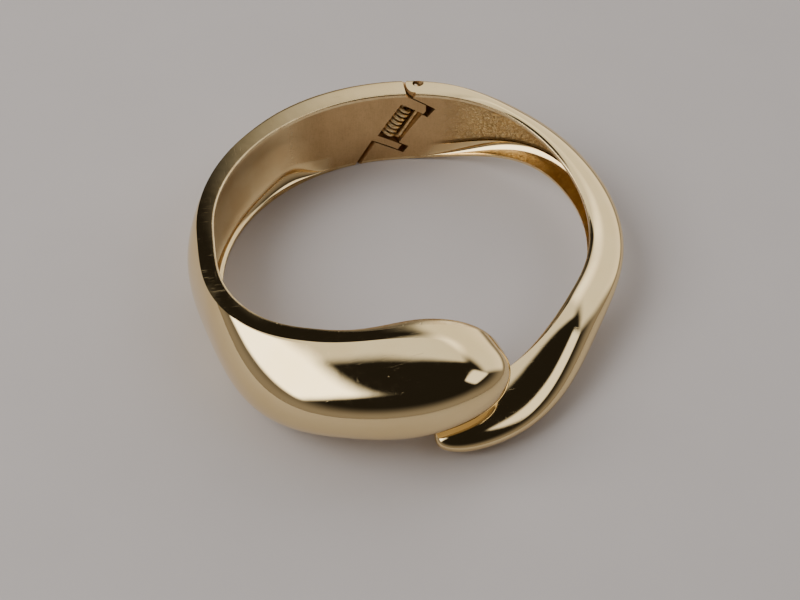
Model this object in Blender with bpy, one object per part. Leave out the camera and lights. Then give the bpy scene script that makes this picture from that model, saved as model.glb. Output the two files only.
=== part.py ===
"""A hinged bypass bangle: two cast halves joined by a slanted spring hinge.

Frame: the bangle lies on its side, +Z up through the wrist opening, with z = 0 on the surface that it
rests on. The hinge is at the back (+Y), and the two ends pass each other at the front (-Y), the left
half's rounded end above the right half's tip. The origin is under the middle of the whole bangle.

Each half is one profile carried round the wrist oval. A station is named by its angle on the oval in
degrees: 0 at +X, 90 at the back, 180 at -X, and 270 or -90 at the front. A point of the profile has an
offset from the oval, along the oval's outward normal, and a height above the surface.

The hinge has its own frame: w runs along the pin, v points outward (+Y), and u across both, to the right.
"""

import math

import bmesh
import bpy
import numpy as np
from mathutils import Matrix, Vector

# The wrist opening
OVAL_HALF_WIDTH = 0.0295
OVAL_HALF_DEPTH = 0.0262

# Both halves where they meet at the hinge
BAND_HEIGHT = 0.0151
HINGE_WALL = 0.0045
TOP_BAND_AT_HINGE = 0.0030
FOOT_WIDTH = 0.0016
EDGE_ROUND = 0.00035

# Left half, whose front end is the wide rounded one
LEFT_END_ANGLE = 284.5
LEFT_NOSE_ANGLE = 262.0
LEFT_WAIST = 0.0009
LEFT_SIDE_REACH = 0.0050
LEFT_END_REACH = 0.0121
LEFT_END_RISE = 0.0034
LEFT_END_LIFT = 0.0048
LEFT_TIP_ROOM = 0.0024
LEFT_SHOULDER = 0.0019
LEFT_END_BULGE = 0.0016
TOP_BAND_AT_SIDE = 0.0018
TOP_BAND_AT_END = 0.0060
LEFT_CREASE = 0.16
LEFT_NOSE_OFFSET = 0.0052
LEFT_NOSE_HEIGHT = 0.0134

# Right half, whose front end is the narrow tip
RIGHT_END_ANGLE = -94.5
RIGHT_NOSE_ANGLE = -78.0
RIGHT_SIDE_THICKNESS = 0.0056
RIGHT_TIP_THICKNESS = 0.0074
RIGHT_TIP_INNER = 0.0046
RIGHT_SIDE_TOP = 0.0095
RIGHT_SIDE_LIFT = 0.0058
RIGHT_TIP_TOP = 0.0061
RIGHT_LIP_WIDTH = 0.0009
RIGHT_LIP_RISE = 0.0007
RIGHT_NOSE_OFFSET = 0.0090
RIGHT_NOSE_HEIGHT = 0.0036

# Hollow inner side
CHANNEL_DEPTH = 0.0035
CHANNEL_WALL = 0.0013
CHANNEL_TOP_RIM = 0.0014
CHANNEL_FOOT_RIM = 0.0010
CHANNEL_CORNER = 0.0009

# Hinge
HINGE_X = 0.00387
PIN_COVER = 0.00265
HINGE_SLANT = 31.0
PIN_RADIUS = 0.00045
CLEARANCE = 0.0003
KNUCKLE_RADIUS = 0.0018
SEAM_GAP = 0.0004
TONGUE_RADIUS = 0.0019
TONGUE_REACH = 0.0028
TONGUE_TAIL_TOP = -0.0006
TONGUE_END_GAP = 0.0007
LOWER_TONGUE = (-0.0044, -0.0031)
UPPER_TONGUE = (0.0050, 0.0071)
WINDOW_EDGE = 0.0020
WINDOW_DEPTH = 0.0016
SPRING_RADIUS = 0.00105
SPRING_WIRE_RADIUS = 0.00028
SPRING_TURNS = 7.5
SPRING_SPAN = (-0.0022, 0.0042)

# Stations between which the left half's sizes change
LEFT_START_ANGLE = 72.0
SHOULDER_RISES = (178.0, 206.0)
SHOULDER_FALLS = (212.0, 244.0)
END_BULGES = (240.0, 268.0)
LEFT_FOOT_LIFTS = (214.0, 262.0)
LEFT_FOOT_CLEARS_TIP = (250.0, 274.0)
LEFT_TOP_RISES = (205.0, 275.0)
BAND_NARROWS = (110.0, 165.0)
BAND_WIDENS = (240.0, 280.0)
CREASE_SHARPENS = (120.0, 180.0)
CREASE_FADES = (248.0, 268.0)
WAIST_NARROWS = (104.0, 140.0)
WAIST_WIDENS = (150.0, 184.0)
SIDE_SETTLES = (150.0, 186.0)
END_WIDENS = (190.0, 243.0)
LEFT_CHANNEL_SINKS = (108.0, 165.0)
LEFT_CHANNEL_ENDS = (226.0, 246.0)

# Stations between which the right half's sizes change
RIGHT_START_ANGLE = 106.0
TIP_LEAVES_WRIST = (-36.0, -90.0)
RIGHT_FOOT_LIFTS = (84.0, 22.0)
RIGHT_FOOT_RETURNS = (-14.0, -72.0)
RIGHT_TOP_DROPS = (72.0, -22.0)
TIP_TAPERS = (-44.0, -82.0)
RIGHT_SIDE_THICKENS = (60.0, -20.0)
TIP_THICKENS = (-30.0, -80.0)
LIP_NARROWS = (78.0, 40.0)
RIGHT_CHANNEL_SINKS = (68.0, 30.0)
RIGHT_CHANNEL_ENDS = (-44.0, -64.0)

# How full the two domes are: 2 is an ellipse, and more is squarer
LEFT_FULLNESS = 2.4
RIGHT_FULLNESS = 2.3

# Smoothness of the solids
LEFT_STATIONS = 54
RIGHT_STATIONS = 46
NOSE_STATIONS = 9
UPPER_STEPS = 7
LOWER_STEPS = 6
ROUND_STEPS = 24
CHANNEL_STATIONS = 36
WIRE_SIDES = 6
COIL_STEPS_PER_TURN = 12
SMOOTH_ANGLE = 30.0
OVERRUN = 0.012


def ease(angle, start, end):
    """A smooth step from 0 at one station to 1 at another."""
    share = np.clip((angle - start) / (end - start), 0.0, 1.0)
    return share * share * (3.0 - 2.0 * share)


def oval_frame(angle):
    """Points on the oval and its outward normals at the given stations."""
    turn = np.radians(angle)
    point = np.stack([OVAL_HALF_WIDTH * np.cos(turn), OVAL_HALF_DEPTH * np.sin(turn)], axis=-1)
    normal = np.stack([OVAL_HALF_DEPTH * np.cos(turn), OVAL_HALF_WIDTH * np.sin(turn)], axis=-1)
    return point, normal / np.linalg.norm(normal, axis=-1, keepdims=True)


def carry(angle, offset, height):
    """The profile's points at every station, as an array of stations by points by 3."""
    point, normal = oval_frame(angle)
    plan = point[:, None, :] + offset[:, :, None] * normal[:, None, :]
    return np.concatenate([plan, height[:, :, None]], axis=-1)


def profile(inner, low, high, lip, lip_rise, crease, thickness, foot, fullness):
    """Offsets and heights of one closed profile at every station.

    It runs up the inner face, out over the top band to the crease, down the outer dome, which is made of
    two quarters of a superellipse, and back in along the flat foot. The upper quarter's crown would stand
    above the crease by the crease's share of its height, so it starts there at a slope.
    """
    middle = 0.5 * (low + high)
    one = np.ones_like(low)
    edge = EDGE_ROUND * one
    rows = [
        (edge, low),
        (0.3 * edge, low + 0.3 * edge),
        (0.0 * one, low + edge),
        (0.0 * one, middle),
        (0.0 * one, high - edge),
        (0.3 * edge, high - 0.3 * edge),
        (edge, high + 0.15 * lip_rise),
        (lip, high + lip_rise),
    ]
    power = 2.0 / fullness
    crown = (high + lip_rise - middle) * (1.0 + crease)
    first = np.arcsin((1.0 / (1.0 + crease)) ** (1.0 / power))
    start = np.clip(np.cos(first), 0.0, 1.0) ** power
    reach = (thickness - lip) / (1.0 - start)
    for step in np.arange(1, UPPER_STEPS + 1) / UPPER_STEPS:
        turn = first * (1.0 - step)
        across = np.clip(np.cos(turn), 0.0, 1.0) ** power
        up = np.clip(np.sin(turn), 0.0, 1.0) ** power
        rows.append((thickness - reach * (1.0 - across), middle + crown * up))
    for step in np.arange(1, LOWER_STEPS + 1) / LOWER_STEPS:
        turn = 0.5 * math.pi * step
        across = max(math.cos(turn), 0.0) ** power
        down = max(math.sin(turn), 0.0) ** power
        rows.append((foot + (thickness - foot) * across, middle - (middle - low) * down))
    offset = np.stack([row[0] for row in rows], axis=1) + inner[:, None]
    height = np.stack([row[1] for row in rows], axis=1)
    return offset, height


def nose_stations(start, nose, end, count):
    """Even stations from start to nose, then closer and closer ones to the end; and each one's size."""
    body = np.linspace(start, nose, count)
    share = np.sin(0.5 * math.pi * np.arange(1, NOSE_STATIONS) / NOSE_STATIONS)
    angle = np.concatenate([body, nose + (end - nose) * share])
    size = np.concatenate([np.ones(count), np.sqrt(1.0 - share * share)])
    return angle, size


def shrink(values, centre, size):
    """The profile's values drawn in towards a centre, station by station."""
    return centre + (values - centre) * size[:, None]


def new_object(name, bm):
    bmesh.ops.recalc_face_normals(bm, faces=bm.faces)
    mesh = bpy.data.meshes.new(name)
    bm.to_mesh(mesh)
    bm.free()
    obj = bpy.data.objects.new(name, mesh)
    bpy.context.scene.collection.objects.link(obj)
    return obj


def skin(name, rings, tip=None):
    """A closed solid over rings of points. The last ring closes on the tip, if there is one."""
    bm = bmesh.new()
    rows = [[bm.verts.new(point) for point in ring] for ring in rings]
    for near, far in zip(rows[:-1], rows[1:]):
        for index in range(len(near)):
            after = (index + 1) % len(near)
            bm.faces.new((near[index], near[after], far[after], far[index]))
    bm.faces.new(rows[0])
    if tip is None:
        bm.faces.new(rows[-1][::-1])
    else:
        pole = bm.verts.new(tip)
        for index in range(len(rows[-1])):
            bm.faces.new((rows[-1][index], rows[-1][(index + 1) % len(rows[-1])], pole))
    return new_object(name, bm)


def hinge_matrix():
    """From the hinge's u, v and w to the bangle's frame."""
    slant = math.radians(HINGE_SLANT)
    across = Vector((math.cos(slant), 0.0, -math.sin(slant)))
    outward = Vector((0.0, 1.0, 0.0))
    along = Vector((math.sin(slant), 0.0, math.cos(slant)))
    turn = Matrix((across, outward, along)).transposed().to_4x4()
    return Matrix.Translation((HINGE_X, OVAL_HALF_DEPTH + HINGE_WALL - PIN_COVER, 0.5 * BAND_HEIGHT)) @ turn


def hinge_prism(name, outline, start, end):
    """A prism along the pin, over an outline given in u and v."""
    place = hinge_matrix()
    rings = [[place @ Vector((u, v, w)) for u, v in outline] for w in (start, end)]
    return skin(name, rings)


def box_outline(left, right, inner, outer):
    return [(left, inner), (right, inner), (right, outer), (left, outer)]


def arc(radius, start, end, steps):
    turns = np.radians(np.linspace(start, end, steps + 1))
    return [(radius * math.cos(turn), radius * math.sin(turn)) for turn in turns]


def hinge_rod(name, radius, start, end):
    return hinge_prism(name, arc(radius, 0.0, 360.0, ROUND_STEPS)[:-1], start, end)


def combine(obj, other, operation):
    """Cut the other solid from this one, or add it."""
    modifier = obj.modifiers.new(operation.lower(), "BOOLEAN")
    modifier.operation = operation
    modifier.solver = "EXACT"
    modifier.object = other
    graph = bpy.context.evaluated_depsgraph_get()
    mesh = bpy.data.meshes.new_from_object(obj.evaluated_get(graph))
    obj.modifiers.remove(modifier)
    obj.data = mesh
    bpy.data.objects.remove(other)


def channel(name, angle, low, high, inner, thickness, share):
    """The cutter for a hollow inner side: a rounded groove that sinks in and rises out with the share."""
    low = low + CHANNEL_FOOT_RIM
    high = high - CHANNEL_TOP_RIM
    front = inner - 0.5 * OVERRUN
    floor = inner - EDGE_ROUND + (np.minimum(CHANNEL_DEPTH, thickness - CHANNEL_WALL) + EDGE_ROUND) * share
    corner = CHANNEL_CORNER
    rows = [
        (front, low),
        (floor - corner, low),
        (floor - 0.3 * corner, low + 0.3 * corner),
        (floor, low + corner),
        (floor, high - corner),
        (floor - 0.3 * corner, high - 0.3 * corner),
        (floor - corner, high),
        (front, high),
    ]
    offset = np.stack([row[0] for row in rows], axis=1)
    height = np.stack([row[1] for row in rows], axis=1)
    return skin(name, carry(angle, offset, height))


def left_sizes(angle):
    """Inner offset, foot height, top height, band width, crease and thickness of the left half."""
    inner = LEFT_SHOULDER * (ease(angle, *SHOULDER_RISES) - ease(angle, *SHOULDER_FALLS))
    inner = inner - LEFT_END_BULGE * ease(angle, *END_BULGES)
    low = LEFT_END_LIFT * ease(angle, *LEFT_FOOT_LIFTS)
    low = low + LEFT_TIP_ROOM * ease(angle, *LEFT_FOOT_CLEARS_TIP)
    high = BAND_HEIGHT + LEFT_END_RISE * ease(angle, *LEFT_TOP_RISES)
    band = TOP_BAND_AT_HINGE + (TOP_BAND_AT_SIDE - TOP_BAND_AT_HINGE) * ease(angle, *BAND_NARROWS)
    band = band + (TOP_BAND_AT_END - TOP_BAND_AT_SIDE) * ease(angle, *BAND_WIDENS)
    crease = LEFT_CREASE * (ease(angle, *CREASE_SHARPENS) - ease(angle, *CREASE_FADES))
    reach = HINGE_WALL + (LEFT_SIDE_REACH - HINGE_WALL) * ease(angle, *SIDE_SETTLES)
    reach = reach - LEFT_WAIST * (ease(angle, *WAIST_NARROWS) - ease(angle, *WAIST_WIDENS))
    reach = reach + (LEFT_END_REACH - LEFT_SIDE_REACH) * ease(angle, *END_WIDENS)
    return inner, low, high, band, crease, reach - inner


def right_sizes(angle):
    """Inner offset, foot height, top height and thickness of the right half."""
    inner = RIGHT_TIP_INNER * ease(angle, *TIP_LEAVES_WRIST)
    low = RIGHT_SIDE_LIFT * (ease(angle, *RIGHT_FOOT_LIFTS) - ease(angle, *RIGHT_FOOT_RETURNS))
    high = BAND_HEIGHT + (RIGHT_SIDE_TOP - BAND_HEIGHT) * ease(angle, *RIGHT_TOP_DROPS)
    high = high + (RIGHT_TIP_TOP - RIGHT_SIDE_TOP) * ease(angle, *TIP_TAPERS)
    thickness = HINGE_WALL + (RIGHT_SIDE_THICKNESS - HINGE_WALL) * ease(angle, *RIGHT_SIDE_THICKENS)
    thickness = thickness + (RIGHT_TIP_THICKNESS - RIGHT_SIDE_THICKNESS) * ease(angle, *TIP_THICKENS)
    return inner, low, high, thickness


def tongue_outline(extra):
    """Outline of a hinge tongue across the pin, grown by the given clearance."""
    radius = TONGUE_RADIUS + extra
    tail = TONGUE_TAIL_TOP + extra
    rise = math.degrees(math.asin(tail / radius))
    outline = [(-OVERRUN, -OVERRUN), (TONGUE_REACH + extra, -OVERRUN), (TONGUE_REACH + extra, tail)]
    outline += arc(radius, rise, 90.0, ROUND_STEPS // 3)
    outline.append((-OVERRUN, radius))
    return outline


def slot_outline():
    """Outline of the slot a tongue turns in: through the wall at the pin, then a shelf for its tail."""
    through = TONGUE_RADIUS + CLEARANCE
    shelf = TONGUE_TAIL_TOP + CLEARANCE
    shelf_end = TONGUE_REACH + TONGUE_END_GAP
    outline = [(-OVERRUN, -OVERRUN), (shelf_end, -OVERRUN), (shelf_end, shelf), (through, shelf)]
    return outline + [(through, OVERRUN), (-OVERRUN, OVERRUN)]


def build_left_half():
    angle, size = nose_stations(LEFT_START_ANGLE, LEFT_NOSE_ANGLE, LEFT_END_ANGLE, LEFT_STATIONS)
    inner, low, high, band, crease, thickness = left_sizes(angle)
    foot = FOOT_WIDTH + 0.0 * angle
    no_rise = 0.0 * angle
    offset, height = profile(inner, low, high, band, no_rise, crease, thickness, foot, LEFT_FULLNESS)
    offset = shrink(offset, LEFT_NOSE_OFFSET, size)
    height = shrink(height, LEFT_NOSE_HEIGHT, size)
    point, normal = oval_frame(np.array([LEFT_END_ANGLE]))
    tip = np.append((point + LEFT_NOSE_OFFSET * normal)[0], LEFT_NOSE_HEIGHT)
    half = skin("left_half", carry(angle, offset, height), tip)

    seam = -KNUCKLE_RADIUS - SEAM_GAP
    outline = box_outline(seam, 2 * OVERRUN, -OVERRUN, OVERRUN)
    end_cut = hinge_prism("end_cut", outline, -2 * OVERRUN, 2 * OVERRUN)
    for start, end in (LOWER_TONGUE, UPPER_TONGUE):
        combine(end_cut, hinge_prism("tongue", tongue_outline(0.0), start, end), "DIFFERENCE")
    combine(half, end_cut, "DIFFERENCE")
    hole = hinge_rod("hole", PIN_RADIUS + CLEARANCE, -OVERRUN, OVERRUN)
    combine(half, hole, "DIFFERENCE")

    angle = np.linspace(LEFT_CHANNEL_SINKS[0], LEFT_CHANNEL_ENDS[1], CHANNEL_STATIONS)
    inner, low, high, band, crease, thickness = left_sizes(angle)
    share = ease(angle, *LEFT_CHANNEL_SINKS) - ease(angle, *LEFT_CHANNEL_ENDS)
    combine(half, channel("hollow", angle, low, high, inner, thickness, share), "DIFFERENCE")
    return half


def build_right_half():
    angle, size = nose_stations(RIGHT_START_ANGLE, RIGHT_NOSE_ANGLE, RIGHT_END_ANGLE, RIGHT_STATIONS)
    inner, low, high, thickness = right_sizes(angle)
    away = ease(angle, *LIP_NARROWS)
    lip = TOP_BAND_AT_HINGE + (RIGHT_LIP_WIDTH - TOP_BAND_AT_HINGE) * away
    foot = FOOT_WIDTH + (RIGHT_LIP_WIDTH - FOOT_WIDTH) * away
    rise = RIGHT_LIP_RISE * away
    no_crease = 0.0 * angle
    offset, height = profile(inner, low, high, lip, rise, no_crease, thickness, foot, RIGHT_FULLNESS)
    offset = shrink(offset, RIGHT_NOSE_OFFSET, size)
    height = shrink(height, RIGHT_NOSE_HEIGHT, size)
    point, normal = oval_frame(np.array([RIGHT_END_ANGLE]))
    tip = np.append((point + RIGHT_NOSE_OFFSET * normal)[0], RIGHT_NOSE_HEIGHT)
    half = skin("right_half", carry(angle, offset, height), tip)

    outline = [(-2 * OVERRUN, -OVERRUN), (-KNUCKLE_RADIUS, -OVERRUN)]
    outline += arc(KNUCKLE_RADIUS, 180.0, 90.0, ROUND_STEPS // 3)
    outline += [(0.0, OVERRUN), (-2 * OVERRUN, OVERRUN)]
    combine(half, hinge_prism("end_cut", outline, -2 * OVERRUN, 2 * OVERRUN), "DIFFERENCE")
    for start, end in (LOWER_TONGUE, UPPER_TONGUE):
        slot = hinge_prism("slot", slot_outline(), start - CLEARANCE, end + CLEARANCE)
        combine(half, slot, "DIFFERENCE")
    window = box_outline(-OVERRUN, WINDOW_EDGE, -OVERRUN, WINDOW_DEPTH)
    window_low = 0.5 * (LOWER_TONGUE[0] + LOWER_TONGUE[1])
    window_high = 0.5 * (UPPER_TONGUE[0] + UPPER_TONGUE[1])
    combine(half, hinge_prism("window", window, window_low, window_high), "DIFFERENCE")
    hole = hinge_rod("hole", PIN_RADIUS + CLEARANCE, -OVERRUN, OVERRUN)
    combine(half, hole, "DIFFERENCE")

    angle = np.linspace(RIGHT_CHANNEL_SINKS[0], RIGHT_CHANNEL_ENDS[1], CHANNEL_STATIONS)
    inner, low, high, thickness = right_sizes(angle)
    share = ease(angle, *RIGHT_CHANNEL_SINKS) - ease(angle, *RIGHT_CHANNEL_ENDS)
    combine(half, channel("hollow", angle, low, high, inner, thickness, share), "DIFFERENCE")
    return half


def build_pin():
    """The hinge pin, its ends a little inside the top and bottom faces."""
    slant = math.cos(math.radians(HINGE_SLANT))
    reach = 0.5 * BAND_HEIGHT / slant - 2.0 * PIN_RADIUS
    return hinge_rod("hinge_pin", PIN_RADIUS, -reach, reach)


def build_spring():
    """A coil of wire round the pin, in the window between the two tongues."""
    turns = np.linspace(0.0, 2.0 * math.pi * SPRING_TURNS, int(COIL_STEPS_PER_TURN * SPRING_TURNS) + 1)
    rise = np.linspace(SPRING_SPAN[0], SPRING_SPAN[1], len(turns))
    coil = np.stack([SPRING_RADIUS * np.cos(turns), SPRING_RADIUS * np.sin(turns), rise], axis=1)
    place = hinge_matrix()
    path = [place @ Vector(point) for point in coil]
    middles = [place @ Vector((0.0, 0.0, height)) for height in rise]
    sides = np.linspace(0.0, 2.0 * math.pi, WIRE_SIDES, endpoint=False)
    rings = []
    for index, point in enumerate(path):
        ahead = (path[min(index + 1, len(path) - 1)] - path[max(index - 1, 0)]).normalized()
        out = (point - middles[index]).normalized()
        up = ahead.cross(out).normalized()
        rings.append([point + SPRING_WIRE_RADIUS * (math.cos(t) * out + math.sin(t) * up) for t in sides])
    return skin("hinge_spring", rings)


def principled(name, colour, roughness):
    material = bpy.data.materials.new(name)
    material.use_nodes = True
    shader = material.node_tree.nodes["Principled BSDF"]
    shader.inputs["Base Color"].default_value = (*colour, 1.0)
    shader.inputs["Metallic"].default_value = 1.0
    shader.inputs["Roughness"].default_value = roughness
    return material


def finish(obj, material):
    obj.data.materials.clear()
    obj.data.materials.append(material)
    bpy.ops.object.select_all(action="DESELECT")
    obj.select_set(True)
    bpy.context.view_layer.objects.active = obj
    bpy.ops.object.shade_smooth()
    obj.data.set_sharp_from_angle(angle=math.radians(SMOOTH_ANGLE))


def centre_on_plan(pieces):
    """Move the bangle so that the origin is under the middle of its bounding box. Returns the move."""
    points = np.array([vertex.co[:] for obj in pieces for vertex in obj.data.vertices])
    middle = 0.5 * (points.min(axis=0) + points.max(axis=0))
    move = Matrix.Translation((-middle[0], -middle[1], 0.0))
    for obj in pieces:
        obj.data.transform(move)
    return move


def main():
    for obj in list(bpy.data.objects):
        bpy.data.objects.remove(obj)
    left_half = build_left_half()
    right_half = build_right_half()
    pin = build_pin()
    spring = build_spring()
    pieces = [left_half, right_half, pin, spring]
    finish(left_half, principled("left_half_gold", (0.80, 0.62, 0.38), 0.12))
    finish(right_half, principled("right_half_gold", (0.80, 0.62, 0.38), 0.12))
    finish(pin, principled("pin_steel", (0.55, 0.50, 0.44), 0.3))
    finish(spring, principled("spring_wire", (0.62, 0.52, 0.40), 0.3))
    move = centre_on_plan(pieces)
    axis = bpy.data.objects.new("hinge_axis", None)
    axis.matrix_world = move @ hinge_matrix()
    bpy.context.scene.collection.objects.link(axis)
    bpy.context.view_layer.update()
    left_half.parent = axis
    left_half.matrix_parent_inverse = axis.matrix_world.inverted()


main()
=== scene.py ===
"""A gold-plated hinged bypass bangle lying on its side on a pale floor.

Lengths are in metres. The bangle's frame is the CAD's: +Z up through the wrist opening, the hinge at the
back (+Y) and the two ends passing each other at the front. A station is an angle round the wrist oval in
degrees: 0 at +X, 90 at the back, 180 at -X, 270 or -90 at the front. An offset is measured outward from
the oval along its normal. At the hinge, w runs along the pin, v points outward and u across both.
"""
import math

import bpy
import numpy as np
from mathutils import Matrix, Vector


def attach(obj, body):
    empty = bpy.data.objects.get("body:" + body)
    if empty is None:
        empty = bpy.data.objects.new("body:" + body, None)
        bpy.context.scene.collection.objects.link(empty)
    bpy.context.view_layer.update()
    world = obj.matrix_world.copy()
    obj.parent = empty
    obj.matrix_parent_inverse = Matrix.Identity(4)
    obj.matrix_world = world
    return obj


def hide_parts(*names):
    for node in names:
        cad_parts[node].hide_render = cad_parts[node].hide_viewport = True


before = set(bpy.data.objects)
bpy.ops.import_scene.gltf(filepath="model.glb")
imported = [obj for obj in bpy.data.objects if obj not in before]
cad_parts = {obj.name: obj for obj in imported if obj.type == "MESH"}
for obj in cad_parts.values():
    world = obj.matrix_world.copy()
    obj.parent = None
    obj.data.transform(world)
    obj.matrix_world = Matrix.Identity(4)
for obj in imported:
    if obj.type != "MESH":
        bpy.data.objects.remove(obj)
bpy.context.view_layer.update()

# The wrist oval's half sizes, its middle in the bangle's frame, and the band's height and wall at the hinge
OVAL = (0.0295, 0.0262)
OVAL_MIDDLE = (-0.00025, 0.00370)
BAND_HEIGHT = 0.0151
HINGE_WALL = 0.0045

# Each half's first station, where its nose starts and where it ends; the station, offset and height of the
# point that the nose closes on; and the nose's superellipse power
WIDE_STATIONS = (72.0, 260.0, 284.5)
WIDE_TIP = (WIDE_STATIONS[2], 0.0050, 0.0130)
WIDE_POWER = 2.35
NARROW_STATIONS = (106.0, -81.0, -94.5)
NARROW_TIP = (NARROW_STATIONS[2], 0.0086, 0.0034)
NARROW_POWER = 3.0
CAST_GRAIN = 0.00013

# The material numbers of a half's parts
OUTSIDE, RIM, INSIDE = 0, 1, 2

# How many stations run up to each nose and through it; how many points each stretch of a profile has, with
# the point that it starts from; and how many points or sides the hinge's curves have
WIDE_COUNT, NARROW_COUNT, NOSE_COUNT = 360, 340, 48
ROUND_POINTS, RIM_POINTS, HOLLOW_POINTS = 6, 4, 54
BAND_POINTS, CREST_POINTS, BELLY_POINTS = 19, 44, 32
ARC_POINTS, FOOT_POINTS, BORE_SIDES, PIN_SIDES, WIRE_SIDES = 24, 16, 45, 40, 14
COIL_POINTS, BEND_POINTS, LEG_POINTS, DOME_POINTS = 560, 90, 40, 10

# The hinge's middle, the lean of its pin, its knuckle and the seam beside it
HINGE_MIDDLE = (0.00362, 0.03175, 0.00755)
HINGE_SLANT = 31.0
KNUCKLE_RADIUS = 0.0018
KNUCKLE_FOOT = (-0.00075, -0.0002)
KNUCKLE_ROUND = (0.00105, 0.0019)
SEAM_GAP = 0.00035
FAR = 0.012

# The pin: its radius, its two ends along w and how far they are domed; and its hole in each half
PIN_RADIUS = 0.00045
PIN_ENDS = (-0.0077, 0.0082)
PIN_DOME = 0.0002
WIDE_BORE = 0.00075
NARROW_BORE = 0.00082

# Each tongue's foot and top along the pin, how far it reaches, and where its slot ends
TONGUES = ((-0.0040, -0.0027, 0.0031, 0.0043), (0.0052, 0.0071, 0.0025, 0.0035))
TONGUE_RADIUS = 0.0019
TONGUE_TAIL = -0.0006
SLIT = 0.00022

# The window in the narrow half: its foot and top along the pin, its edge across, the shelf at its edge and
# its back, both along v; and the cheek that the wide half loses for the coil
WINDOW_ENDS = (-0.0033, 0.0058)
WINDOW_EDGE = 0.0024
WINDOW_SHELF = -0.0010
WINDOW_BACK = 0.0016
COIL_ROOM = 0.00175
CHEEK_BACK = 0.0003
CHEEK_GAP = 0.0002

# The spring: its wire, its coil's radius, middle along v, top and pitch, and its straight leg
WIRE_RADIUS = 0.00032
COIL_RADIUS = 0.00128
COIL_MIDDLE = -0.00042
COIL_TOP = 0.00440
COIL_PITCH = 0.00092
COIL_TURNS = 7.15
LEG_FOOT = np.array([0.00207, -0.0014, -0.0014])
LEG_TOP = np.array([0.00207, -0.0014, 0.0050])
LEG_BEND = (0.0008, 0.0010)

# Faces that meet at more than this many degrees keep a crisp edge
SHARP_ANGLE = 38.0

# The gold of the rims and of the polished parts of the wrist side, where it is least rubbed
PALE_GOLD = (0.88, 0.69, 0.38, 1.0)

# The soft boxes' distance and the share of their width that fades, the floor's side, and the camera's azimuth
# from the front, elevation, distance, aim and lens, in degrees, metres and millimetres
BOX_DISTANCE = 0.9
BOX_FADE = 0.20
FLOOR_SIDE = 3.0
CAMERA_TURN, CAMERA_RISE = -12.0, 50.0
CAMERA_DISTANCE = 0.230
CAMERA_AIM = Vector((-0.00209, -0.00189, 0.0))
CAMERA_LENS = 64.35


def blend(angle, start, end):
    """A step from 0 to 1 between two stations, with no slope or curvature at either end."""
    share = np.clip((angle - start) / (end - start), 0.0, 1.0)
    return share ** 3 * (share * (6.0 * share - 15.0) + 10.0)


def carry(angle, offset, height):
    """Profile points carried round the oval: the oval's point plus the offset times its normal."""
    turn = np.radians(angle)
    point = np.stack([OVAL[0] * np.cos(turn), OVAL[1] * np.sin(turn)], -1) + np.array(OVAL_MIDDLE)
    normal = np.stack([OVAL[1] * np.cos(turn), OVAL[0] * np.sin(turn)], -1)
    normal = normal / np.linalg.norm(normal, axis=-1, keepdims=True)
    plan = point[:, None, :] + offset[:, :, None] * normal[:, None, :]
    return np.concatenate([plan, height[:, :, None]], -1)


def mesh_object(name, points, faces, smooth=True):
    """A mesh object at the origin from an array of points and a list of face arrays."""
    mesh = bpy.data.meshes.new(name)
    mesh.from_pydata(points.tolist(), [], [face for block in faces for face in block.tolist()])
    mesh.polygons.foreach_set("use_smooth", np.full(len(mesh.polygons), smooth))
    obj = bpy.data.objects.new(name, mesh)
    bpy.context.scene.collection.objects.link(obj)
    return obj


def quads(rows, columns):
    """Faces of a grid of rows by columns that closes on itself across the columns."""
    row, column = np.meshgrid(np.arange(rows - 1), np.arange(columns), indexing="ij")
    after = (column + 1) % columns
    here, above = row * columns, (row + 1) * columns
    return np.stack([here + column, here + after, above + after, above + column], -1).reshape(-1, 4)


def tube_grid(name, grid, materials=(), parts=None, last_tip=None, flip=False, marks=None):
    """A closed skin over a grid of rings: the first ring is capped, and the last is capped or ends in a tip.

    parts gives a material index for each column. The UV map "surface" holds the distance along and round, in
    metres. "hollow" holds the hollow's marks: its level, from 0 at its foot to 1 at its top, and how far it
    has sunk, from 0 to 1. flip turns the faces over, for rings that run the other way.
    """
    rows, columns = grid.shape[:2]
    points = grid.reshape(-1, 3)
    sides = quads(rows, columns)
    faces = [sides, np.arange(columns)[::-1][None, :]]
    if last_tip is None:
        faces.append((rows - 1) * columns + np.arange(columns)[None, :])
    else:
        points = np.vstack([points, last_tip])
        ring = (rows - 1) * columns + np.arange(columns)
        faces.append(np.stack([ring, np.roll(ring, -1), np.full(columns, rows * columns)], -1))
    if flip:
        faces = [block[:, ::-1] for block in faces]
    obj = mesh_object(name, points, faces)
    for material in materials:
        obj.data.materials.append(material)
    if parts is not None:
        index = np.zeros(len(obj.data.polygons), np.int32)
        index[:len(sides)] = np.tile(parts, rows - 1)
        obj.data.polygons.foreach_set("material_index", index)
    along = np.concatenate([[0.0], np.cumsum(np.linalg.norm(np.diff(grid[:, 0], axis=0), axis=-1))])
    middle = grid[rows // 2]
    around = np.concatenate([[0.0], np.cumsum(np.linalg.norm(np.diff(middle, axis=0), axis=-1))])
    charts = {"surface": np.stack(np.meshgrid(along, around, indexing="ij"), -1)}
    if marks is not None:
        charts["hollow"] = marks
    corner = np.empty(len(obj.data.loops), np.int32)
    obj.data.loops.foreach_get("vertex_index", corner)
    for key, chart in charts.items():
        chart = chart.reshape(-1, 2)
        chart = np.vstack([chart, np.tile(chart[-1], (len(points) - len(chart), 1))])
        obj.data.uv_layers.new(name=key).data.foreach_set("uv", chart[corner].ravel())
    return obj


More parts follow.
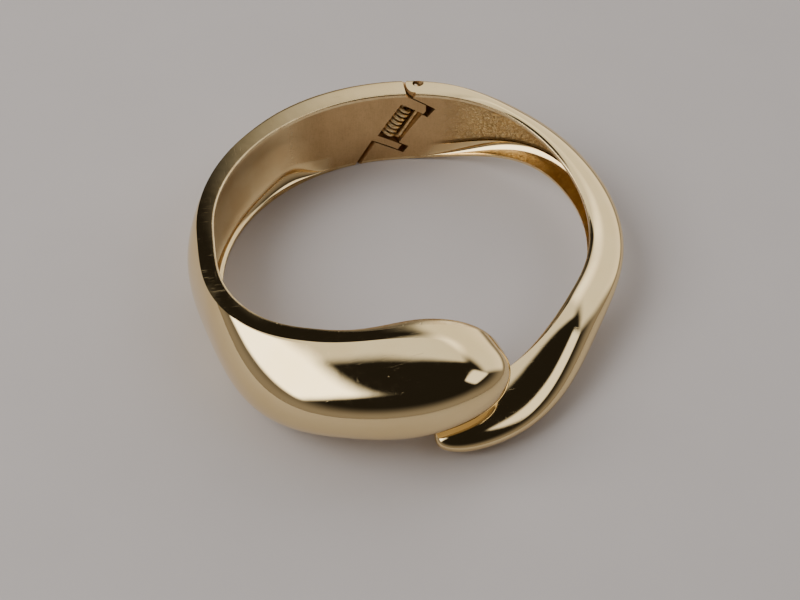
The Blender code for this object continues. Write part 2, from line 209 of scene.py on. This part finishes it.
def stations(start, nose, end, count, power):
    """Even stations to the nose, then ones closing up towards the end, with the profile's size at each.

    The size falls along a quarter superellipse of the given power n, so the nose is round or squarish: its
    share of the way is sin(turn) ** (2 / n) and its size cos(turn) ** (2 / n).
    """
    turn = 0.5 * np.pi * np.arange(1, NOSE_COUNT) / NOSE_COUNT
    share, size = np.sin(turn) ** (2.0 / power), np.cos(turn) ** (2.0 / power)
    angle = np.concatenate([np.linspace(start, nose, count), nose + (end - nose) * share])
    return angle, np.concatenate([np.ones(count), size])


def steps(count):
    """A row of even shares up to 1, without the 0 that they start from."""
    return np.linspace(0.0, 1.0, count)[None, 1:]


def quarter(count):
    """A row of even turns up to a quarter turn, in radians, without the 0 that they start from."""
    return 0.5 * np.pi * steps(count)


def half_profile(s):
    """One closed profile at every station: offsets, heights, each column's part and the hollow's marks.

    In order: the flat foot, a quarter round, the lower rim, the hollow, the upper rim, a quarter round, the
    top band, which rises as drop * (1 - (1 - t) ** 2), and the outer dome in two quarter superellipses.
    The hollow's section is a quarter superellipse below the waist and another above it, as deep as the
    depth times how far the hollow has sunk at a station that lags with height. The dome's upper part is a
    superellipse as tall as the crown, cut off where it meets the band, so a taller crown makes a crease.
    A superellipse of power n goes cos(turn) ** (2 / n) across and sin(turn) ** (2 / n) up.
    """
    one = np.ones_like(s["low"])[:, None]
    low, high, band, drop, thick, foot, edge = (
        s[key][:, None] for key in ("low", "high", "band", "drop", "thick", "foot", "edge")
    )
    inner_top = high - drop
    blocks = []

    def add(part, offset, height):
        blocks.append((part, *np.broadcast_arrays(offset * one, height * one)))

    add(OUTSIDE, foot + (edge - foot) * steps(ROUND_POINTS), low)
    turn = quarter(ROUND_POINTS)
    add(RIM, edge - edge * np.sin(turn), low + edge - edge * np.cos(turn))
    bottom, top = low + edge + s["foot_rim"], inner_top - edge - s["top_rim"]
    t = steps(RIM_POINTS)
    add(RIM, 0.0 * t, low + edge + (bottom - low - edge) * t)

    turn = np.linspace(-0.5, 0.5, HOLLOW_POINTS)[None, 1:-1] * np.pi
    power = 2.0 / np.where(turn < 0.0, s["cove"], s["corner"])
    across, up = np.cos(turn) ** power, np.abs(np.sin(turn)) ** power
    waist = s["waist"]
    level = np.where(turn < 0.0, waist * (1.0 - up), waist + (1.0 - waist) * up)
    sunk = s["sink"](s["angle"][:, None] + s["lag"] * level) - s["rise"](s["angle"][:, None])
    add(INSIDE, s["depth"][:, None] * sunk * across, bottom + (top - bottom) * level)

    t = np.linspace(0.0, 1.0, RIM_POINTS)[None, :]
    add(RIM, 0.0 * t, top + (inner_top - edge - top) * t)
    turn = quarter(ROUND_POINTS)
    add(RIM, edge - edge * np.cos(turn), inner_top - edge + edge * np.sin(turn))
    t = steps(BAND_POINTS)
    add(OUTSIDE, edge + (band - edge) * t, inner_top + drop * (1.0 - (1.0 - t) ** 2))

    middle = 0.5 * (low + high)
    power = 2.0 / s["fullness"][:, None]
    taller = 1.0 + s["crease"][:, None]
    crown = (high - middle) * taller
    first = np.arcsin(np.clip((1.0 / taller) ** (1.0 / power), 0.0, 1.0))
    reach = (thick - band) / (1.0 - np.clip(np.cos(first), 0.0, 1.0) ** power)
    turn = first * (1.0 - steps(CREST_POINTS))
    across = np.clip(np.cos(turn), 0.0, 1.0) ** power
    add(OUTSIDE, thick - reach * (1.0 - across), middle + crown * np.clip(np.sin(turn), 0.0, 1.0) ** power)
    turn = quarter(BELLY_POINTS)
    power = 2.0 / s["belly"][:, None]
    across = np.clip(np.cos(turn), 0.0, 1.0) ** power
    add(OUTSIDE, foot + (thick - foot) * across, middle - (middle - low) * np.sin(turn) ** power)

    parts = np.concatenate([np.full(block[1].shape[1], block[0]) for block in blocks])
    marks = np.full((*(one * parts).shape, 2), 0.5)
    marks[:, parts == INSIDE] = np.stack([level * one, sunk * one], -1)
    offset = np.concatenate([block[1] for block in blocks], 1) + s["inner"][:, None]
    height = np.concatenate([block[2] for block in blocks], 1)
    return offset, height, parts, marks


def draw_in(values, centre, size):
    """A profile's values drawn in towards a centre by each station's size."""
    return centre + (values - centre) * size[:, None]


def wide_sizes(angle):
    """The wide half's profile at each station.

    inner is the wrist side's offset, and thick the depth of the section from there. low and high are the
    heights of foot and top, foot and band the widths of the flat foot and the top band, drop the band's
    rise, and edge the radius of the rounds. foot_rim and top_rim are the rims beside the hollow; cove,
    corner and waist shape its section, depth is its depth, and sink and rise say where it starts and ends,
    its top starting lag degrees further from the hinge than its foot. crease, fullness and belly shape the
    dome.
    """
    inner = 0.0019 * (blend(angle, 174, 210) - blend(angle, 208, 248)) - 0.0027 * blend(angle, 234, 268)
    low = 0.0042 * blend(angle, 210, 266) + 0.0024 * blend(angle, 250, 280)
    high = BAND_HEIGHT + 0.0034 * blend(angle, 200, 280)
    band = 0.0030 - 0.0003 * blend(angle, 106, 170) + 0.0033 * blend(angle, 236, 284)
    reach = HINGE_WALL + 0.0005 * blend(angle, 146, 190) + 0.0074 * blend(angle, 186, 247)
    reach = reach - 0.0009 * (blend(angle, 100, 144) - blend(angle, 146, 188))
    return {
        "angle": angle,
        "inner": inner,
        "low": low,
        "high": high,
        "band": band,
        "drop": 0.00004 + 0.0001 * blend(angle, 236, 270),
        "crease": 0.22 * (blend(angle, 120, 190) - blend(angle, 242, 272)),
        "thick": reach - inner,
        "foot": 0.0016 + 0.0010 * blend(angle, 232, 270),
        "edge": 0.00022 + 0.0019 * blend(angle, 228, 272),
        "foot_rim": 0.0005,
        "top_rim": 0.0004,
        "cove": 1.6,
        "corner": 5.0,
        "waist": 0.55,
        "lag": 0.0,
        "fullness": 3.1 - 0.8 * blend(angle, 98, 150),
        "belly": 2.3 + 0.9 * blend(angle, 236, 268),
        "depth": np.minimum(0.0034, reach - inner - 0.0010),
        "sink": lambda station: blend(station, 97, 126),
        "rise": lambda station: blend(station, 214, 244),
    }


def narrow_sizes(angle):
    """The narrow half's profile at each station, in the same terms; away is 1 once the hinge is past."""
    away = blend(angle, 80, 36)
    high = BAND_HEIGHT - 0.0056 * blend(angle, 76, -26) - 0.0034 * blend(angle, -40, -84)
    thick = HINGE_WALL + 0.0011 * blend(angle, 66, -24) + 0.0018 * blend(angle, -26, -82)
    thick = thick + 0.0020 * blend(angle, -40, -84)
    return {
        "angle": angle,
        "inner": 0.0046 * blend(angle, -32, -92) - 0.0020 * blend(angle, -40, -84),
        "low": 0.0058 * (blend(angle, 86, 18) - blend(angle, -10, -74)),
        "high": high + 0.0004 * away,
        "band": 0.0030 - 0.0022 * away,
        "drop": 0.00004 + 0.0001 * away,
        "crease": 0.0 * angle,
        "thick": thick,
        "foot": 0.0016 - 0.0007 * away + 0.0012 * blend(angle, -30, -80),
        "edge": 0.0002 + 0.0016 * blend(angle, -36, -82),
        "foot_rim": 0.0004,
        "top_rim": 0.0004,
        "cove": 2.4,
        "corner": 4.0,
        "waist": 0.45,
        "lag": 16.0,
        "fullness": 3.1 - 1.0 * blend(angle, 82, 34) - 0.4 * blend(angle, -36, -78),
        "belly": np.full_like(angle, 2.2),
        "depth": np.minimum(0.0036, thick - 0.0013),
        "sink": lambda station: blend(station, 86, 34),
        "rise": lambda station: blend(station, -42, -66),
    }


def hinge_place(u, v, w):
    """Points of the bangle's frame from the hinge's own u, v and w."""
    slant = math.radians(HINGE_SLANT)
    across = np.array([math.cos(slant), 0.0, -math.sin(slant)])
    along = np.array([math.sin(slant), 0.0, math.cos(slant)])
    outward = np.array([0.0, 1.0, 0.0])
    u, v, w = (np.asarray(value)[..., None] for value in (u, v, w))
    return np.array(HINGE_MIDDLE) + u * across + v * outward + w * along


def prism(name, outline, start, end):
    """A prism along the pin over an outline of u and v, which runs anticlockwise."""
    u, v = np.array(outline).T
    return tube_grid(name, np.stack([hinge_place(u, v, np.full(len(u), w)) for w in (start, end)]))


def arc(radius, start, end, count):
    """Points of an arc round the pin, between two angles in degrees."""
    turn = np.radians(np.linspace(start, end, count))
    return list(zip(radius * np.cos(turn), radius * np.sin(turn)))


def bore(radius):
    """A long round cutter along the pin."""
    return prism("hole", arc(radius, 0.0, 360.0 - 360.0 / BORE_SIDES, BORE_SIDES), -FAR, FAR)


def cut(obj, tool):
    """Cuts the tool from the piece and keeps the result; the cut faces take the piece's inside material."""
    for material in obj.data.materials:
        tool.data.materials.append(material)
    tool.data.polygons.foreach_set("material_index", np.full(len(tool.data.polygons), INSIDE))
    modifier = obj.modifiers.new("cut", "BOOLEAN")
    modifier.solver, modifier.object = "EXACT", tool
    obj.data = bpy.data.meshes.new_from_object(obj.evaluated_get(bpy.context.evaluated_depsgraph_get()))
    obj.modifiers.remove(modifier)
    bpy.data.objects.remove(tool)


def tongue_outline(reach):
    """Outline of a tongue: straight on the wrist side, with a tail, and round over the pin."""
    outline = [(-FAR, -FAR), (reach, -FAR), (reach, TONGUE_TAIL)]
    outline += arc(TONGUE_RADIUS, math.degrees(math.asin(TONGUE_TAIL / TONGUE_RADIUS)), 90.0, ARC_POINTS)
    return outline + [(-FAR, TONGUE_RADIUS)]


def half_grid(name, angle, size, profile, tip, materials, flip):
    """A half's skin: its profiles drawn in to the nose, carried round the oval and closed on the tip."""
    offset, height, parts, marks = profile
    end, tip_offset, tip_height = tip
    offset, height = draw_in(offset, tip_offset, size), draw_in(height, tip_height, size)
    last_tip = carry(np.array([end]), np.array([[tip_offset]]), np.array([[tip_height]]))[0]
    return tube_grid(name, carry(angle, offset, height), materials, parts, last_tip, flip, marks)


def wide_half(materials):
    """The wide half: its profile carried round from the hinge, and cut square behind the two tongues."""
    angle, size = stations(*WIDE_STATIONS, WIDE_COUNT, WIDE_POWER)
    half = half_grid("wide_half", angle, size, half_profile(wide_sizes(angle)), WIDE_TIP, materials, False)
    seam = -KNUCKLE_RADIUS - SEAM_GAP
    block = prism("block", [(seam, -FAR), (2 * FAR, -FAR), (2 * FAR, FAR), (seam, FAR)], -2 * FAR, 2 * FAR)
    for start, end, reach, _ in TONGUES:
        cut(block, prism("tongue", tongue_outline(reach), start, end))
    cheek = [(-FAR, -FAR), (-COIL_ROOM, -FAR), (-COIL_ROOM, CHEEK_BACK), (-FAR, CHEEK_BACK)]
    cut(block, prism("cheek", cheek, TONGUES[0][1] - CHEEK_GAP, TONGUES[1][0] + CHEEK_GAP))
    cut(half, block)
    cut(half, bore(WIDE_BORE))
    return half


def narrow_half(materials):
    """The narrow half: its profile carried round, rounded over the pin, and cut for tongues and spring.

    Its hollow is as cast: each point is moved by up to the grain, along the oval's normal, at random.
    """
    angle, size = stations(*NARROW_STATIONS, NARROW_COUNT, NARROW_POWER)
    offset, height, parts, marks = half_profile(narrow_sizes(angle))
    cast = blend(angle, 74, 52)[:, None] * blend(marks[..., 0], 0.20, 0.26) * blend(marks[..., 1], 0.1, 0.4)
    grain = np.random.default_rng(5).uniform(-1.0, 1.0, offset.shape)
    offset = offset + CAST_GRAIN * cast * (parts == INSIDE) * grain
    profile = (offset, height, parts, marks)
    half = half_grid("narrow_half", angle, size, profile, NARROW_TIP, materials, True)
    turn = np.linspace(0.0, 0.5 * np.pi, FOOT_POINTS)
    (foot_u, foot_v), (round_u, round_v) = KNUCKLE_FOOT, KNUCKLE_ROUND
    outline = [(-2 * FAR, -FAR), (foot_u, -FAR)]
    outline += list(zip(foot_u - round_u * np.sin(turn), foot_v - round_v * np.cos(turn)))
    outline += arc(KNUCKLE_RADIUS, 180.0, 90.0, ARC_POINTS) + [(0.0, FAR), (-2 * FAR, FAR)]
    cut(half, prism("end", outline, -2 * FAR, 2 * FAR))
    through, shelf = TONGUE_RADIUS + SLIT, TONGUE_TAIL + SLIT
    for start, end, _, stop in TONGUES:
        outline = [(-FAR, -FAR), (stop, -FAR), (stop, shelf), (through, shelf), (through, FAR), (-FAR, FAR)]
        cut(half, prism("slot", outline, start - SLIT, end + SLIT))
    window = [(-FAR, -FAR), (WINDOW_EDGE, -FAR), (WINDOW_EDGE, WINDOW_SHELF)]
    window += [(COIL_ROOM, WINDOW_SHELF), (COIL_ROOM, WINDOW_BACK), (-FAR, WINDOW_BACK)]
    cut(half, prism("window", window, *WINDOW_ENDS))
    cut(half, bore(NARROW_BORE))
    return half


def wire(name, path, side, radius, material):
    """A round wire along a path: rings in the plane of the side direction and its cross with the path."""
    ahead = np.gradient(path, axis=0)
    ahead = ahead / np.linalg.norm(ahead, axis=-1, keepdims=True)
    side = side - (side * ahead).sum(-1, keepdims=True) * ahead
    side = side / np.linalg.norm(side, axis=-1, keepdims=True)
    up = np.cross(ahead, side)
    turn = np.linspace(0.0, 2.0 * np.pi, WIRE_SIDES, endpoint=False)[None, :, None]
    grid = path[:, None] + radius * (np.cos(turn) * side[:, None] + np.sin(turn) * up[:, None])
    return tube_grid(name, grid, [material])


def spring(material):
    """The spring: a helix round the pin that leaves sideways and runs straight up the window's edge.

    The bend between them is a cubic Bezier curve, (1 - t)^3 a + 3 (1 - t)^2 t b + 3 (1 - t) t^2 c + t^3 d,
    that leaves along the helix and arrives along the leg.
    """
    turn = np.linspace(0.0, 2.0 * np.pi * COIL_TURNS, COIL_POINTS)
    climb = COIL_TOP - COIL_PITCH * turn / (2 * np.pi)
    coil = np.stack([COIL_RADIUS * np.cos(turn), COIL_MIDDLE + COIL_RADIUS * np.sin(turn), climb], -1)
    start, slope = coil[-1], (coil[-1] - coil[-2]) / np.linalg.norm(coil[-1] - coil[-2])
    leaving, arriving = start + slope * LEG_BEND[0], LEG_FOOT - [0.0, 0.0, LEG_BEND[1]]
    t = steps(BEND_POINTS).T
    bend = (1 - t) ** 3 * start + 3 * (1 - t) ** 2 * t * leaving
    bend = bend + 3 * (1 - t) * t ** 2 * arriving + t ** 3 * LEG_FOOT
    leg = LEG_FOOT + steps(LEG_POINTS).T * (LEG_TOP - LEG_FOOT)
    local = np.vstack([coil, bend, leg])
    path = hinge_place(*local.T)
    middle = hinge_place(0.0 * local[:, 0], COIL_MIDDLE + 0.0 * local[:, 1], local[:, 2])
    return wire("coil_spring", path, path - middle, WIRE_RADIUS, material)


def pin(material):
    """The pin: a turned shape whose ends are struck round, its radius falling to nothing over each end."""
    turn = np.linspace(0.02, 0.5, DOME_POINTS) * np.pi
    low_end, high_end = PIN_ENDS
    w = np.concatenate([low_end - PIN_DOME * np.cos(turn), high_end + PIN_DOME * np.cos(turn)[::-1]])
    across = (PIN_RADIUS * np.concatenate([np.sin(turn), np.sin(turn)[::-1]]))[:, None]
    around = np.linspace(0.0, 2.0 * np.pi, PIN_SIDES, endpoint=False)[None, :]
    grid = hinge_place(across * np.cos(around), across * np.sin(around), w[:, None] + 0 * around)
    return tube_grid("pin", grid, [material])


class Field:
    """A number or colour that varies over a surface, so that shader sums read as sums."""

    def __init__(self, shader, socket):
        self.shader = shader
        self.socket = socket

    def math(self, operation, *terms):
        return self.shader.node("ShaderNodeMath", {"operation": operation}, dict(enumerate(terms)))

    def __add__(self, other):
        return self.math("ADD", self, other)

    def __radd__(self, other):
        return self.math("ADD", other, self)

    def __sub__(self, other):
        return self.math("SUBTRACT", self, other)

    def __rsub__(self, other):
        return self.math("SUBTRACT", other, self)

    def __mul__(self, other):
        return self.math("MULTIPLY", self, other)

    def __rmul__(self, other):
        return self.math("MULTIPLY", other, self)

    def least(self, other):
        return self.math("MINIMUM", self, other)

    def most(self, other):
        return self.math("MAXIMUM", self, other)

    def between(self, low, high):
        """0 below the low value and 1 above the high one, with a smooth step between."""
        settings = {"interpolation_type": "SMOOTHSTEP", "clamp": True}
        values = {"Value": self, "From Min": low, "From Max": high}
        return self.shader.node("ShaderNodeMapRange", settings, values)


class Nodes:
    """A node tree, built from expressions."""

    def __init__(self, tree):
        self.tree = tree

    def node(self, kind, settings=None, values=None, output=0):
        """A node of any kind: its settings first, then its inputs by name or number, as values or links."""
        made = self.tree.nodes.new(kind)
        for key, value in (settings or {}).items():
            setattr(made, key, value)
        for key, value in (values or {}).items():
            if isinstance(value, Field):
                self.tree.links.new(value.socket, made.inputs[key])
            else:
                made.inputs[key].default_value = value
        return Field(self, made.outputs[output])

    def place(self):
        """The piece's own coordinates, in metres."""
        return self.node("ShaderNodeTexCoord", output="Object")

    def chart(self, name):
        """One of the piece's UV maps."""
        return self.node("ShaderNodeUVMap", {"uv_map": name})

    def mapped(self, vector, scale, turn=(0.0, 0.0, 0.0)):
        """A place turned and scaled, so that a pattern on it is drawn out where the scale is small."""
        return self.node("ShaderNodeMapping", None, {"Vector": vector, "Rotation": turn, "Scale": scale})

    def noise(self, vector, size, detail=3.0, roughness=0.55):
        """Fractal noise whose lumps are about the given size, in metres."""
        values = {"Vector": vector, "Scale": 1.0 / size, "Detail": detail, "Roughness": roughness}
        return self.node("ShaderNodeTexNoise", None, values)

    def cells(self, vector, size, feature="F1"):
        """Distance from the nearest of points that lie about the given size apart, in metres."""
        values = {"Vector": vector, "Scale": 1.0 / size}
        return self.node("ShaderNodeTexVoronoi", {"feature": feature}, values)

    def part(self, vector, axis):
        """A vector's X, Y or Z."""
        return self.node("ShaderNodeSeparateXYZ", None, {0: vector}, output="XYZ".index(axis))

    def mix(self, share, first, second):
        """One colour towards another by a share."""
        return self.node("ShaderNodeMix", {"data_type": "RGBA"}, {0: share, 6: first, 7: second}, output=2)

    def bump(self, height, distance, strength=1.0, normal=None):
        """A bump whose full height is the given distance, in metres."""
        values = {"Height": height, "Distance": distance, "Strength": strength}
        if normal is not None:
            values["Normal"] = normal
        return self.node("ShaderNodeBump", None, values)


class Shader(Nodes):
    """A material, built from expressions, whose constants are set on the surface itself."""

    def __init__(self, name, **constants):
        self.material = bpy.data.materials.new(name)
        self.material.use_nodes = True
        super().__init__(self.material.node_tree)
        self.surface = self.tree.nodes["Principled BSDF"]
        for key, value in constants.items():
            self.surface.inputs[key.replace("_", " ")].default_value = value

    def feed(self, **fields):
        """Links fields to the surface's inputs, whose names have an underscore for each space."""
        for key, value in fields.items():
            self.tree.links.new(value.socket, self.surface.inputs[key.replace("_", " ")])


def polished_gold():
    """Mirror plate: pale gold, with faint waves, hair scratches, pinholes and warmer rubbed patches."""
    m = Shader("polished_gold", Metallic=1.0)
    place = m.place()
    patches = m.noise(place, 0.011, 4.0)
    fine = m.noise(place, 0.0011, 4.0)
    hairs = m.noise(m.mapped(place, (1.0, 14.0, 6.0), (0.2, 0.4, 0.7)), 0.0032, 2.0).between(0.62, 0.80)
    crossed = m.noise(m.mapped(place, (16.0, 1.0, 5.0), (0.5, 0.1, 0.3)), 0.0036, 2.0).between(0.64, 0.82)
    hairs = hairs.most(crossed)
    pits = 1.0 - m.cells(place, 0.0031).between(0.02, 0.055)
    pits = pits * m.noise(place, 0.006, 1.0).between(0.60, 0.66)
    colour = m.mix(patches.between(0.35, 0.72), (0.89, 0.70, 0.38, 1.0), (0.86, 0.655, 0.335, 1.0))
    colour = m.mix(pits * 0.8, colour, (0.16, 0.10, 0.05, 1.0))
    rough = 0.035 + 0.04 * patches.between(0.45, 0.8) + 0.03 * fine.between(0.5, 0.75)
    rough = rough + 0.09 * hairs + 0.3 * pits
    wave = m.bump(m.noise(place, 0.006, 2.0), 0.00004, 0.35)
    height = 0.25 * fine - 0.35 * hairs - 2.0 * pits
    m.feed(Base_Color=colour, Roughness=rough, Normal=m.bump(height, 0.000008, 0.5, wave))
    return m.material


def satin_inside(name, cast):
    """The wrist side: a satin brown-gold plate at the hinge that turns polished, or as-cast, away from it.

    The flange at the hollow's foot is polished. Where the hollow is as cast, a line of painted shade runs
    along the flange, darkening the crease where it meets the wall.
    """
    m = Shader(name, Metallic=1.0)
    place = m.place()
    across = m.part(place, "X")
    hollow = m.chart("hollow")
    level, sunk = m.part(hollow, "X"), m.part(hollow, "Y")
    patches = m.noise(place, 0.006, 4.0)
    brush = m.noise(m.mapped(place, (22.0, 22.0, 1.2)), 0.0030, 3.0)
    grain = m.noise(place, 0.00035, 3.0)
    satin = m.mix(patches.between(0.3, 0.7), (0.66, 0.45, 0.22, 1.0), (0.55, 0.36, 0.17, 1.0))
    satin = m.mix(brush.between(0.35, 0.75) * 0.3, satin, (0.76, 0.55, 0.29, 1.0))
    satin = m.mix(grain.between(0.45, 0.8) * 0.4, satin, (0.42, 0.27, 0.12, 1.0))
    gold = m.mix(patches.between(0.3, 0.7), PALE_GOLD, (0.80, 0.58, 0.29, 1.0))
    rough = 0.30 + 0.10 * brush + 0.12 * grain
    flange = (1.0 - level.between(0.15, 0.21)) * sunk.between(0.06, 0.22)
    if cast:
        away = across.between(0.0095, 0.0185) * (1.0 - flange)
        crust = m.noise(place, 0.00030, 5.0, 0.65) + 0.9 * m.cells(place, 0.00048, "SMOOTH_F1")
        bright = m.mix(crust.between(0.45, 1.0), (1.0, 0.83, 0.48, 1.0), (0.78, 0.56, 0.27, 1.0))
        rough = rough + (0.30 + 0.10 * grain - rough) * away
        relief = m.bump(crust * away, 0.0008)
    else:
        away = 1.0 - across.between(-0.020, -0.008)
        bright = gold
        rough = rough + (0.13 + 0.05 * grain - rough) * away
        relief = m.bump(patches * away, 0.00008, 0.3)
    colour = m.mix(flange, m.mix(away, satin, bright), gold)
    if cast:
        # Painted shade: a dark line in the colour along the crease where the flange meets the cast wall
        crease_shade = level.between(0.15, 0.20) * (1.0 - level.between(0.20, 0.26)) * sunk.between(0.06, 0.22)
        colour = m.mix(crease_shade * 0.75, colour, (0.20, 0.12, 0.05, 1.0))
    rough = rough + (0.09 + 0.04 * patches - rough) * flange
    height = (0.3 * brush + 0.5 * grain) * (1.0 - flange)
    m.feed(Base_Color=colour, Roughness=rough, Normal=m.bump(height, 0.000022, 0.8, relief))
    return m.material


def rim_gold():
    """The thin rims: polished, but rubbed more, with tiny nicks along the edges."""
    m = Shader("rim_gold", Metallic=1.0)
    place = m.place()
    wear = m.noise(place, 0.0022, 4.0)
    nicks = m.noise(place, 0.0005, 2.0).between(0.62, 0.74)
    colour = m.mix(wear.between(0.4, 0.7), PALE_GOLD, (0.74, 0.53, 0.27, 1.0))
    rough = 0.14 + 0.16 * wear + 0.12 * nicks
    m.feed(Base_Color=colour, Roughness=rough, Normal=m.bump(wear - 0.6 * nicks, 0.00002, 0.6))
    return m.material


def wire_metal(name, light, dark, size):
    """Drawn wire: fine lines along it, grime in patches."""
    m = Shader(name, Metallic=1.0)
    place = m.place()
    lines = m.noise(m.mapped(m.chart("surface"), (0.06, 1.0, 1.0)), size, 2.0)
    grime = m.noise(place, 0.0009, 4.0).between(0.42, 0.72)
    colour = m.mix(grime, (*light, 1.0), (*dark, 1.0))
    rough = 0.26 + 0.14 * lines + 0.20 * grime
    m.feed(Base_Color=colour, Roughness=rough, Normal=m.bump(lines, 0.000006, 0.6))
    return m.material


def floor_stone():
    """A pale plain floor with the faintest mottling."""
    m = Shader("floor", Roughness=0.85)
    mottle = m.noise(m.place(), 0.02, 5.0)
    m.feed(Base_Color=m.mix(mottle, (0.60, 0.558, 0.545, 1.0), (0.64, 0.60, 0.588, 1.0)))
    return m.material


def dress(obj, body, node):
    """Gives a finished piece its sharp edges and its body, and hides the CAD node that it stands for."""
    obj.data.set_sharp_from_angle(angle=math.radians(SHARP_ANGLE))
    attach(obj, body)
    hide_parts(node)


outside, rims = polished_gold(), rim_gold()
wide = wide_half([outside, rims, satin_inside("wide_half_inside", False)])
narrow = narrow_half([outside, rims, satin_inside("narrow_half_inside", True)])
dress(wide, "wide_half", "left_half")
dress(narrow, "narrow_half", "right_half")
coil = spring(wire_metal("spring_gold", (0.93, 0.75, 0.43), (0.56, 0.39, 0.19), 0.00012))
dress(coil, "narrow_half", "hinge_spring")
rivet = pin(wire_metal("pin_gold", (0.80, 0.66, 0.44), (0.30, 0.21, 0.12), 0.0002))
dress(rivet, "narrow_half", "hinge_pin")


def toward(turn, rise):
    """The direction from the bangle at an azimuth from the front and an elevation, in degrees."""
    turn, rise = math.radians(turn), math.radians(rise)
    return Vector((math.sin(turn) * math.cos(rise), -math.cos(turn) * math.cos(rise), math.sin(rise)))


def stand(name, data, place, direction):
    """An object at a place that looks back along a direction."""
    obj = bpy.data.objects.new(name, data)
    obj.location = place
    obj.rotation_euler = direction.to_track_quat("Z", "Y").to_euler()
    bpy.context.scene.collection.objects.link(obj)
    return obj


def soft_box(name, turn, rise, size, glow, colour):
    """A soft box that faces the bangle: its azimuth and elevation in degrees, size, radiance and colour.

    Its glow fades smoothly over the outer part of its width and height.
    """
    direction = toward(turn, rise)
    data = bpy.data.lights.new(name, "AREA")
    data.shape, data.size, data.size_y, data.color = "RECTANGLE", size[0], size[1], colour
    data.energy = glow * math.pi * size[0] * size[1]
    data.use_nodes = True
    m = Nodes(data.node_tree)
    where = m.node("ShaderNodeNewGeometry", output="Parametric")
    fade = 1.0
    for axis in "XY":
        along = m.part(where, axis)
        fade = along.least(1.0 - along).between(0.0, BOX_FADE) * fade
    m.tree.links.new(fade.socket, m.tree.nodes["Emission"].inputs["Strength"])
    stand(name, data, direction * BOX_DISTANCE, direction)


soft_box("left_box", -88.0, 46.0, (0.90, 0.78), 4.2, (1.0, 0.985, 0.96))
soft_box("back_box", 182.0, 66.0, (1.10, 0.54), 1.1, (1.0, 0.98, 0.95))
soft_box("right_box", 127.0, 33.0, (1.60, 0.95), 1.15, (1.0, 0.97, 0.93))
soft_box("front_right_box", 60.0, 50.0, (0.46, 0.42), 1.6, (1.0, 0.98, 0.96))

corners = np.array([[-1, -1, 0], [1, -1, 0], [1, 1, 0], [-1, 1, 0]]) * 0.5 * FLOOR_SIDE
floor = mesh_object("floor", corners, [np.array([[0, 1, 2, 3]])], False)
floor.data.materials.append(floor_stone())

world = bpy.data.worlds.new("room")
world.use_nodes = True
room = Nodes(world.node_tree)
skyward = room.part(room.node("ShaderNodeTexCoord", output="Generated"), "Z")
shade = room.mix(skyward.between(0.15, 0.62), (0.30, 0.27, 0.245, 1.0), (0.020, 0.018, 0.016, 1.0))
room.tree.links.new(shade.socket, world.node_tree.nodes["Background"].inputs["Color"])
bpy.context.scene.world = world

camera_data = bpy.data.cameras.new("camera")
camera_data.sensor_width, camera_data.lens = 36.0, CAMERA_LENS
camera_data.clip_start = 0.01
back = toward(CAMERA_TURN, CAMERA_RISE)
bpy.context.scene.camera = stand("camera", camera_data, CAMERA_AIM + CAMERA_DISTANCE * back, back)
